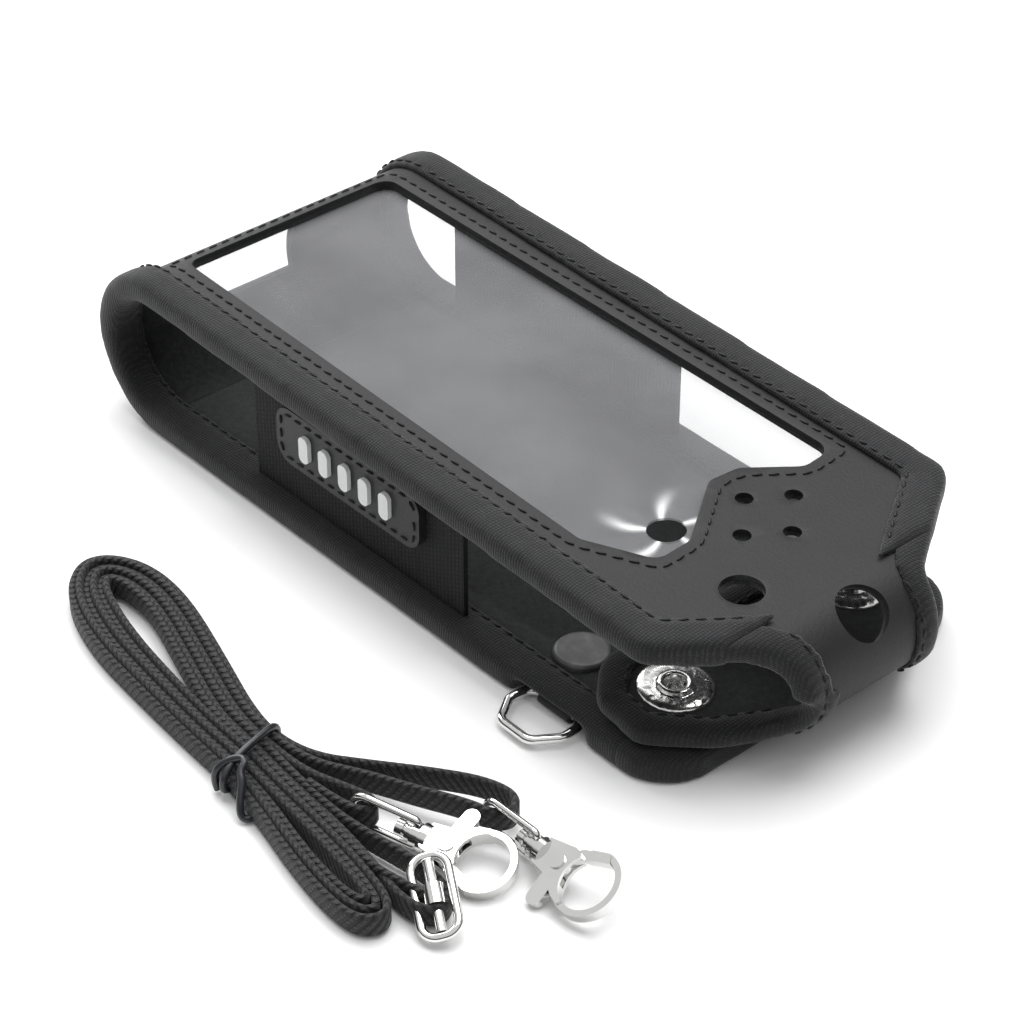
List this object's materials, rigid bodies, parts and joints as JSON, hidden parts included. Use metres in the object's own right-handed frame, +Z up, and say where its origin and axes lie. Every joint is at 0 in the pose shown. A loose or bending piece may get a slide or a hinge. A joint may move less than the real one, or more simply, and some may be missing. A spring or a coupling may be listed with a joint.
{
  "type": "soft carrying case",
  "caption": "Soft leather case with a clear window, padded edges, mesh sides and a press-stud flap, beside its bundled neck strap with two swivel clasps.",
  "frame": {"origin": "the middle of the underside of the mouth's binding, on the plane on which the case rests", "axes": "+X along the case to the mouth and its flap, +Y to the far side, +Z up from the back panel to the window"},
  "size_m": [0.16, 0.1276, 0.0312],
  "materials": {
    "leather": "fine grain, charcoal",
    "binding": "ribbed padded tape",
    "felt": "short-pile felt",
    "mesh": "elastic mesh",
    "film": "clear flexible film",
    "patch": "moulded, satin",
    "black_cap": "satin black enamel",
    "strap": "flat braid",
    "tie": "plastic-coated wire",
    "nickel": "polished nickel"
  },
  "bodies": {
    "case": {"back_leather": "leather", "back_lining": "felt", "badge_bars": "patch", "badge_patch": "patch", "end_leather": "leather", "end_lining": "felt", "far_back_stud": "nickel", "far_binding": "binding", "far_mesh": "mesh", "far_ring_tab": "leather", "far_stud_cap": "black_cap", "first_clasp_eye": "nickel", "front_leather": "leather", "front_lining": "felt", "hank_tie": "tie", "mouth_binding": "binding", "near_back_stud": "nickel", "near_binding": "binding", "near_mesh": "mesh", "near_ring_tab": "leather", "near_stud_cap": "black_cap", "second_clasp_eye": "nickel", "slider_bar": "nickel", "slider_frame": "nickel", "strap_hank": "strap", "strap_lead": "strap", "strap_tail": "strap", "window_film": "film"},
    "near_ring": {"near_d_ring": "nickel"},
    "far_ring": {"far_d_ring": "nickel"},
    "flap": {"flap_leather": "leather", "flap_lining": "felt", "flap_binding": "binding", "near_snap_flange": "nickel", "far_snap_flange": "nickel", "near_snap_socket": "nickel", "far_snap_socket": "nickel"},
    "first_hook": {"first_clasp_hook": "nickel", "first_clasp_rivet": "nickel"},
    "first_gate": {"first_clasp_gate": "nickel"},
    "second_hook": {"second_clasp_hook": "nickel", "second_clasp_rivet": "nickel"},
    "second_gate": {"second_clasp_gate": "nickel"}
  },
  "joints": [
    {"name": "near_ring_swing", "type": "hinge", "parent": "case", "child": "near_ring", "pos_m": [-0.02095, -0.0315, 0.0015], "axis": [1, 0, 0], "range_deg": [-10, 90]},
    {"name": "far_ring_swing", "type": "hinge", "parent": "case", "child": "far_ring", "pos_m": [-0.02095, 0.0315, 0.0015], "axis": [-1, 0, 0], "range_deg": [-10, 90]},
    {"name": "flap_lift", "type": "hinge", "parent": "case", "child": "flap", "pos_m": [-0.01125, 0, 0.0275], "axis": [0, -1, 0], "range_deg": [0, 120]},
    {"name": "first_swivel", "type": "hinge", "parent": "case", "child": "first_hook", "pos_m": [-0.00815, -0.0575, 0.00355], "axis": [0.9997, 0, 0.0262], "continuous": true},
    {"name": "first_gate_open", "type": "hinge", "parent": "first_hook", "child": "first_gate", "pos_m": [0.00824, -0.0575, 0.00398], "axis": [0.0233, 0.454, -0.8907], "range_deg": [0, 25], "stiffness_Nm_per_rad": 0.02, "springref_deg": -8.59},
    {"name": "second_swivel", "type": "hinge", "parent": "case", "child": "second_hook", "pos_m": [-0.02175, -0.0719, 0.0038], "axis": [0.9484, 0.3118, -0.0576], "range_deg": [-110, 80]},
    {"name": "second_gate_open", "type": "hinge", "parent": "second_hook", "child": "second_gate", "pos_m": [-0.0062, -0.06679, 0.00286], "axis": [0.1367, -0.2381, 0.9616], "range_deg": [0, 25], "stiffness_Nm_per_rad": 0.02, "springref_deg": -8.59}
  ]
}
